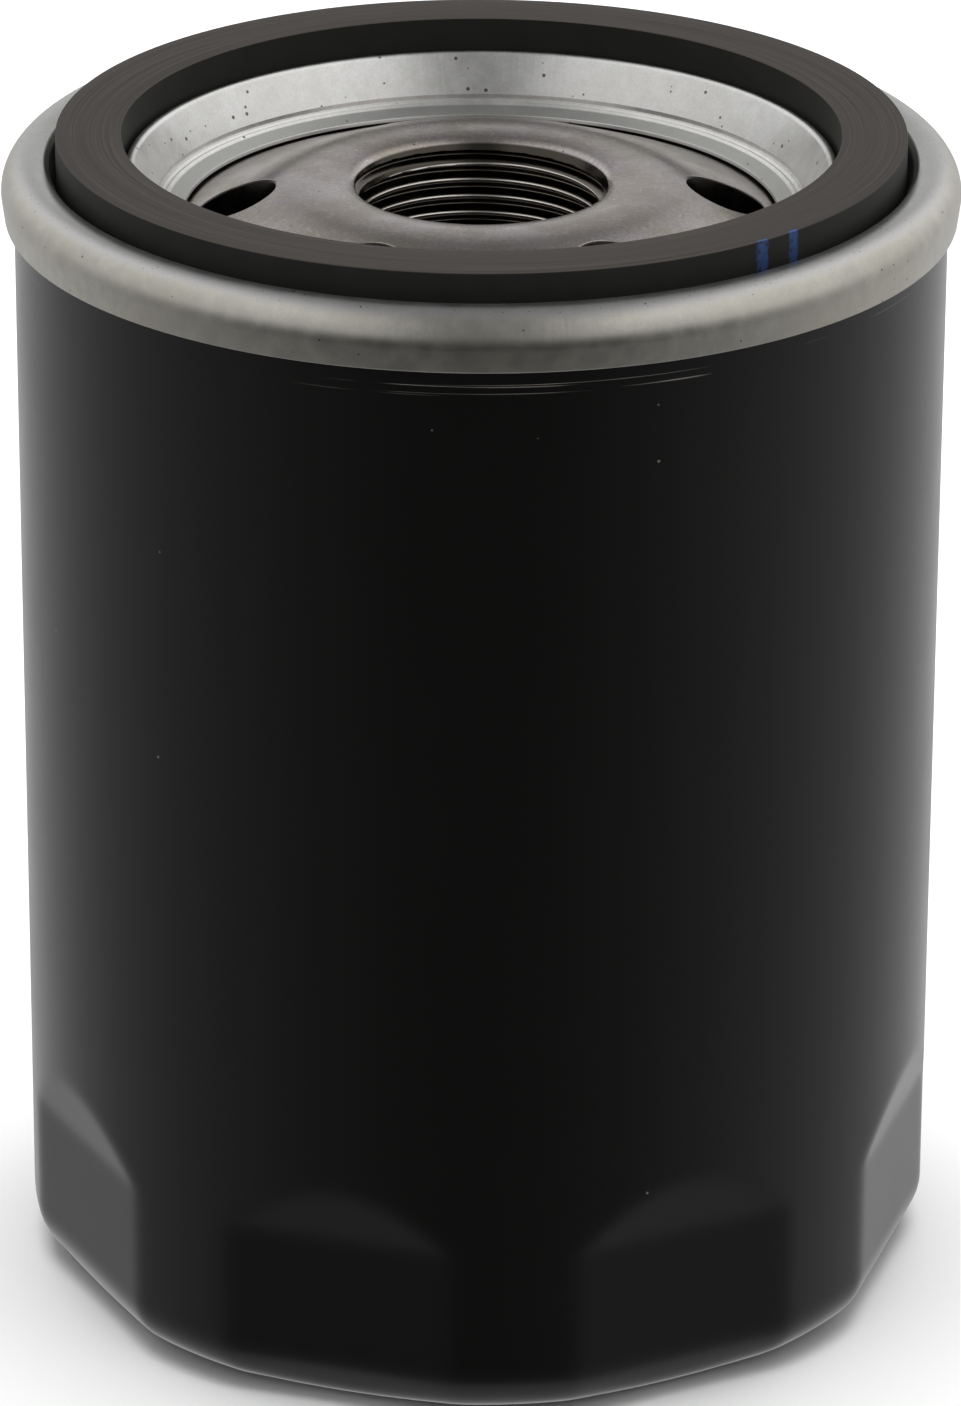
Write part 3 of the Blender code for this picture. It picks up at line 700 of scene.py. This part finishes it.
def bottom_cap(material):
    corners = [(8.6, 17.0, 0.15), (33.5, 17.0, 0.8), (33.5, 21.0, 0.1), (33.0, 21.0, 0.1), (33.0, 17.5, 0.4)]
    corners += [(8.6, 17.5, 0.15)]
    return lathe("pressed_bottom_cap", rounded(corners), material)


def adhesive(name, low, material):
    corners = [(17.3, low, 0.3), (32.6, low, 0.3), (32.6, low + 1.5, 0.5), (17.3, low + 1.5, 0.5)]
    return lathe(name, rounded(corners), material)


def pleats(material):
    """A closed ribbon of paper with rounded folds, and a slight sway so that no two pleats are alike."""
    count, tip_r, root_r, paper = 48, 32.15, 17.7, 0.5
    low, high, rows = 19.65, 80.85, 12
    samples = 14
    middle_tip, middle_root = tip_r - 0.9, root_r + 0.9
    centre_line = []
    for fold in range(count):
        for sample in range(samples):
            phase = sample / samples
            wave = math.cos(math.tau * phase)
            flat = wave * (1.35 - 0.35 * wave * wave)
            radius = (middle_tip + middle_root) / 2 + (middle_tip - middle_root) / 2 * flat
            centre_line.append((radius, math.tau * (fold + phase) / count))
    sway = random.Random(4)
    shifts = [sway.uniform(-0.0035, 0.0035) for _ in range(count)]
    bm = bmesh.new()
    grid = []
    total = len(centre_line)
    points = []
    for index, (radius, angle) in enumerate(centre_line):
        angle += shifts[index // samples] * math.sin(math.pi * (index % samples) / samples)
        points.append(Vector((radius * math.cos(angle), radius * math.sin(angle), 0)))
    sides = ([], [])
    for index, point in enumerate(points):
        along = (points[(index + 1) % total] - points[index - 1]).normalized()
        across = Vector((along.y, -along.x, 0)) * paper / 2
        sides[0].append(point + across)
        sides[1].append(point - across)
    for side in sides:
        rows_of_side = []
        for row in range(rows + 1):
            z = low + (high - low) * row / rows
            rows_of_side.append([bm.verts.new((point.x, point.y, z)) for point in side])
        grid.append(rows_of_side)
    for rows_of_side in grid:
        for below, above in zip(rows_of_side, rows_of_side[1:]):
            for index in range(total):
                after = (index + 1) % total
                bm.faces.new((below[index], below[after], above[after], above[index]))
    for end in (0, -1):
        outer, inner = grid[0][end], grid[1][end]
        for index in range(total):
            after = (index + 1) % total
            bm.faces.new((outer[index], outer[after], inner[after], inner[index]))
    return finish_mesh(bm, "paper_pleats", material, 60)


def seam_clip(material):
    """The folded strip over the joint in the paper, with crimp marks pressed into its web."""
    low, high = 20.2, 80.3
    section = [(27.5, 0.85), (32.35, 0.85), (32.35, -0.85), (27.5, -0.85), (27.5, -1.2), (32.7, -1.2)]
    section += [(32.7, 1.2), (27.5, 1.2)]
    outline = rounded([(x, y, 0.12) for x, y in section], 24)
    bm = bmesh.new()
    rings = []
    rows = 120
    for row in range(rows + 1):
        share = row / rows
        crimp = 0.12 * max(0.0, math.sin(math.tau * share * 15)) ** 2
        ring = []
        for x, y in outline:
            pressed = crimp if x > 32.5 else 0.0
            ring.append(bm.verts.new((x - pressed, y, low + (high - low) * share)))
        rings.append(ring)
    for ring, following in zip(rings, rings[1:]):
        for index in range(len(ring)):
            after = (index + 1) % len(ring)
            bm.faces.new((ring[index], ring[after], following[after], following[index]))
    bm.faces.new(rings[0])
    bm.faces.new(rings[-1])
    return finish_mesh(bm, "crimped_seam_clip", material, 40)


def perforated_tube(material):
    """Rows of round holes, each set between the holes of the row below."""
    low, high, outer_r, wall = 17.8, 82.6, 16.8, 0.5
    columns, rows = 24, 13
    hole_r = 1.45
    sides = 12
    bm = bmesh.new()
    sheet_r = outer_r - wall / 2
    width = math.tau * sheet_r / columns
    height = (high - low) / rows
    seen = {}

    def corner(x, z):
        key = (round(x % (width * columns), 4) % round(width * columns, 4), round(z, 4))
        if key not in seen:
            angle = x / sheet_r
            seen[key] = bm.verts.new((sheet_r * math.cos(angle), sheet_r * math.sin(angle), z))
        return seen[key]

    for row in range(rows):
        for column in range(columns):
            x, z = column * width, low + row * height
            middle_x, middle_z, right, upper = x + width / 2, z + height / 2, x + width, z + height
            square = [(x, z), (middle_x, z), (right, z), (right, middle_z)]
            square += [(right, upper), (middle_x, upper), (x, upper), (x, middle_z)]
            border = [corner(*point) for point in square]
            if row in (0, rows - 1) or (row + column) % 2:
                bm.faces.new(border)
                continue
            rim = []
            for side in range(2 * sides):
                around = math.tau * side / (2 * sides) - math.pi * 0.75
                rim.append(corner(middle_x + hole_r * math.cos(around), middle_z + hole_r * math.sin(around)))
            per_side = 2 * sides // 8
            for index in range(8):
                arc = rim[index * per_side:(index + 1) * per_side + 1]
                if index == 7:
                    arc = rim[7 * per_side:] + [rim[0]]
                bm.faces.new([border[index], border[(index + 1) % 8]] + list(reversed(arc)))
    bmesh.ops.recalc_face_normals(bm, faces=bm.faces)
    bmesh.ops.scale(bm, verts=bm.verts, vec=(MM, MM, MM))
    mesh = bpy.data.meshes.new("perforated_tube")
    bm.to_mesh(mesh)
    bm.free()
    mesh.materials.append(material)
    obj = bpy.data.objects.new("perforated_tube", mesh)
    bpy.context.scene.collection.objects.link(obj)
    thick = obj.modifiers.new("wall", "SOLIDIFY")
    thick.thickness = wall * MM
    thick.offset = 0
    graph = bpy.context.evaluated_depsgraph_get()
    obj.data = bpy.data.meshes.new_from_object(obj.evaluated_get(graph))
    obj.modifiers.clear()
    obj.data.shade_smooth()
    obj.data.set_sharp_from_angle(angle=math.radians(40))
    return obj


def valve_seat(material):
    corners = [(5.5, 17.8, 0.1), (15.8, 17.8, 0.15), (15.8, 18.6, 0.15), (7.2, 18.6, 0.3), (6.4, 19.3, 0.3)]
    corners += [(5.5, 19.3, 0.3)]
    return lathe("bypass_seat_disc", rounded(corners), material)


def valve_cage(material):
    corners = [(9.3, 18.9, 0.1), (15.8, 18.9, 0.15), (15.8, 19.5, 0.15), (9.9, 19.5, 0.5), (9.9, 33.6, 0.7)]
    corners += [(2.2, 33.6, 0.1), (2.2, 33.0, 0.1), (9.3, 33.0, 0.3)]
    cage = lathe("bypass_cage_cup", rounded(corners), material)
    windows = bmesh.new()
    for window in range(4):
        turn = Matrix.Rotation(FLAT_TURN + math.tau * window / 4, 4, "Z") @ Matrix.Translation((9.9, 0, 26.5))
        made = bmesh.ops.create_cube(windows, size=1, matrix=turn @ Matrix.Diagonal((5, 7.5, 8, 1)))
        edges = {edge for vert in made["verts"] for edge in vert.link_edges}
        radial = turn.to_3x3() @ Vector((1, 0, 0))
        along = [e for e in edges if abs((e.verts[0].co - e.verts[1].co).normalized().dot(radial)) > 0.9]
        bmesh.ops.bevel(windows, geom=along, offset=1.2, segments=5, affect="EDGES", profile=0.5)
    cut(cage, windows)
    return cage


def poppet(material):
    corners = [(0, 18.4), (3.4, 18.4, 0.2), (3.4, 19.1, 0.15), (1.9, 19.3, 0.1), (1.9, 20.9, 0.1)]
    corners += [(8.2, 20.9, 0.15), (8.2, 21.6, 0.15), (2.3, 21.6, 0.4), (1.5, 22.3, 0.4), (1.5, 35.0, 0.2)]
    corners += [(0.9, 35.6, 0.2), (0, 35.6)]
    return lathe("bypass_poppet_valve", rounded(corners), material, 64)


def seal_washer(material):
    corners = [(2.2, 19.6, 0.15), (8.0, 19.6, 0.25), (8.0, 20.6, 0.25), (2.2, 20.6, 0.15)]
    return lathe("bypass_seal_disc", rounded(corners), material)


def locator(material):
    corners = [(9.0, 16.1, 0.1), (17.0, 16.1, 0.2), (17.0, 13.9, 0.1), (17.6, 13.9, 0.1), (17.6, 16.7, 0.5)]
    corners += [(9.0, 16.7, 0.1)]
    return lathe("spring_locator", rounded(corners), material)


def compound(material):
    low = TOP - 3.95
    corners = [(39.0, low, 0.1), (39.5, low, 0.1), (39.5, low + 0.3, 0.1), (39.0, low + 0.3, 0.1)]
    return lathe("seam_compound_bead", rounded(corners), material, FINE)


# ---------------------------------------------------------------- assembly and stage


def show(piece, body, node):
    """The piece stands for the CAD node and rides on its body."""
    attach(piece, body)
    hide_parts(node)


def bend(piece, node, slot, fixed, moving, start, end):
    """The piece stands for a node that changes length; its placement is baked into its mesh."""
    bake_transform(piece)
    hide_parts(node)


def assemble():
    plated = plated_steel()
    wire = drawn_metal("spring_steel", (0.32, 0.32, 0.33), 0.32)
    nitrile = inner_rubber("black_rubber", (0.035, 0.034, 0.032))
    glue = plastisol()
    show(painted_can(black_paint()), "housing", "can_shell")
    show(plated_lid(plated), "housing", "seaming_lid")
    show(threaded_plate(bare_steel()), "housing", "tapping_plate")
    show(gasket(gasket_rubber()), "housing", "sealing_gasket")
    show(compound(seam_compound()), "housing", "seam_compound_ring")
    show(top_cap(plated), "filter_element", "element_top_cap")
    show(bottom_cap(plated), "filter_element", "element_bottom_cap")
    show(adhesive("top_adhesive", 81.1, glue), "filter_element", "top_adhesive_ring")
    show(adhesive("bottom_adhesive", 17.8, glue), "filter_element", "bottom_adhesive_ring")
    show(pleats(filter_paper()), "filter_element", "pleated_media")
    show(seam_clip(plated), "filter_element", "media_seam_clip")
    show(perforated_tube(plated), "filter_element", "centre_tube")
    show(valve_seat(plated), "filter_element", "bypass_valve_seat")
    show(valve_cage(plated), "filter_element", "bypass_valve_cage")
    show(locator(plated), "filter_element", "spring_seat")
    show(poppet(drawn_metal("brass", (0.72, 0.52, 0.22), 0.30)), "bypass_valve", "bypass_poppet")
    show(seal_washer(nitrile), "bypass_valve", "bypass_seal_washer")
    relief = coil("relief_spring", wire, (5.2, 22.5), (5.2, 32.1), 5, 0.6, flat_turns=0.6)
    bend(relief, "bypass_spring", "spring_steel", "filter_element", "bypass_valve", 32.7, 21.9)
    pusher = coil("pusher_spring", wire, (20.0, 3.3), (15.5, 14.6), 3, 1.2, flat_turns=0.4, steps_per_turn=64)
    bend(pusher, "support_spring", "spring_steel", "housing", "filter_element", 2.1, 15.8)
    diaphragm = drainback_diaphragm(nitrile)
    ends = (DIAPHRAGM_HUB, DIAPHRAGM_LIP)
    bend(diaphragm, "anti_drainback_valve", "black_rubber", "housing", "drainback_lip", *ends)


def floor():
    """A wide pale disc a hair below the base, left out of reflections."""
    reach, gap = 4.0, 0.00005
    n = Nodes("pale_floor", (0.86, 0.86, 0.86), 0.9, Specular_IOR_Level=0.1)
    n.set(n.shader, "Base Color", n.mix(n.noise(300.0, 1.0), (0.86, 0.86, 0.86), (0.88, 0.88, 0.88)))
    mesh = bpy.data.meshes.new("floor")
    bm = bmesh.new()
    bmesh.ops.create_circle(bm, cap_ends=True, segments=96, radius=reach)
    bm.to_mesh(mesh)
    bm.free()
    mesh.materials.append(n.material)
    obj = bpy.data.objects.new("floor", mesh)
    obj.location.z = -gap
    bpy.context.scene.collection.objects.link(obj)
    obj.visible_glossy = False


def softbox(name, place, target, size, power):
    """A rectangular light that faces the target and doesn't show in reflections."""
    light = bpy.data.lights.new(name, "AREA")
    light.shape = "RECTANGLE"
    light.size, light.size_y = size
    light.energy = power
    obj = bpy.data.objects.new(name, light)
    obj.location = place
    obj.rotation_euler = (Vector(target) - Vector(place)).to_track_quat("-Z", "Y").to_euler()
    obj.visible_glossy = False
    bpy.context.scene.collection.objects.link(obj)
    return obj


def studio():
    """A dim room in front and overhead, with bright sweeps to the left, the right and behind."""
    world = bpy.data.worlds.new("studio")
    bpy.context.scene.world = world
    world.use_nodes = True
    tree = world.node_tree
    tree.nodes.clear()
    coordinates = tree.nodes.new("ShaderNodeTexCoord")
    split = tree.nodes.new("ShaderNodeSeparateXYZ")
    tree.links.new(coordinates.outputs["Generated"], split.inputs[0])
    x, y, z = split.outputs

    def give(node, socket, value):
        if isinstance(value, bpy.types.NodeSocket):
            tree.links.new(value, node.inputs[socket])
        else:
            node.inputs[socket].default_value = value

    def ramp(value, low, high, start, end, smooth=True):
        node = tree.nodes.new("ShaderNodeMapRange")
        node.interpolation_type = "SMOOTHSTEP" if smooth else "LINEAR"
        for socket, given in zip(RAMP_SOCKETS, (value, low, high, start, end)):
            give(node, socket, given)
        return node.outputs["Result"]

    def calc(operation, first, second=0.0):
        node = tree.nodes.new("ShaderNodeMath")
        node.operation = operation
        give(node, 0, first)
        give(node, 1, second)
        return node.outputs[0]

    def mix(factor, first, second):
        node = tree.nodes.new("ShaderNodeMix")
        give(node, 0, factor)
        give(node, 2, first)
        give(node, 3, second)
        return node.outputs[0]

    across = calc("ABSOLUTE", x)
    sides = calc("MULTIPLY", ramp(across, 0.08, 0.48, 0.0, 1.0), ramp(across, 0.5, 0.9, 1.0, 0.72))
    sides = calc("MULTIPLY", sides, ramp(y, -0.95, -0.2, 0.5, 1.0))
    overhead = calc("ADD", calc("MAXIMUM", sides, ramp(y, 0.78, 1.0, 0.0, 0.75)), 0.25)
    level = ramp(y, -0.9, 0.75, 0.06, 0.80, smooth=False)
    light = mix(ramp(z, -0.05, 0.3, 0.0, 1.0), level, overhead)
    light = mix(ramp(z, -0.92, -0.74, 1.0, 0.0), light, 0.6)  # straight below
    light = calc("MULTIPLY", light, calc("ADD", calc("MULTIPLY", x, 0.10), 1.0))
    path = tree.nodes.new("ShaderNodeLightPath")
    background = tree.nodes.new("ShaderNodeBackground")
    give(background, "Strength", mix(path.outputs["Is Camera Ray"], light, 1.0))
    output = tree.nodes.new("ShaderNodeOutputWorld")
    tree.links.new(background.outputs[0], output.inputs[0])
    upper_can = (0, 0, 0.08)
    softbox("overhead", (0.0, 0.15, 1.25), upper_can, (1.1, 1.1), 20.0)


def camera():
    """The eye is 0.61 m in front of the axis and 0.21 m above the gasket, looking down 23 degrees."""
    data = bpy.data.cameras.new("camera")
    data.sensor_width = 36.0
    data.lens = 193.75
    data.clip_start = 0.01
    obj = bpy.data.objects.new("camera", data)
    tilt = Matrix.Rotation(math.radians(90 - 23.036), 4, "X") @ Matrix.Rotation(math.radians(0.222), 4, "Z")
    obj.matrix_world = Matrix.Translation((0.0001, -0.6115, TOP * MM + 0.2070)) @ tilt
    bpy.context.scene.collection.objects.link(obj)
    bpy.context.scene.camera = obj
    bpy.context.scene.view_settings.view_transform = "Standard"


camera()
assemble()
floor()
studio()
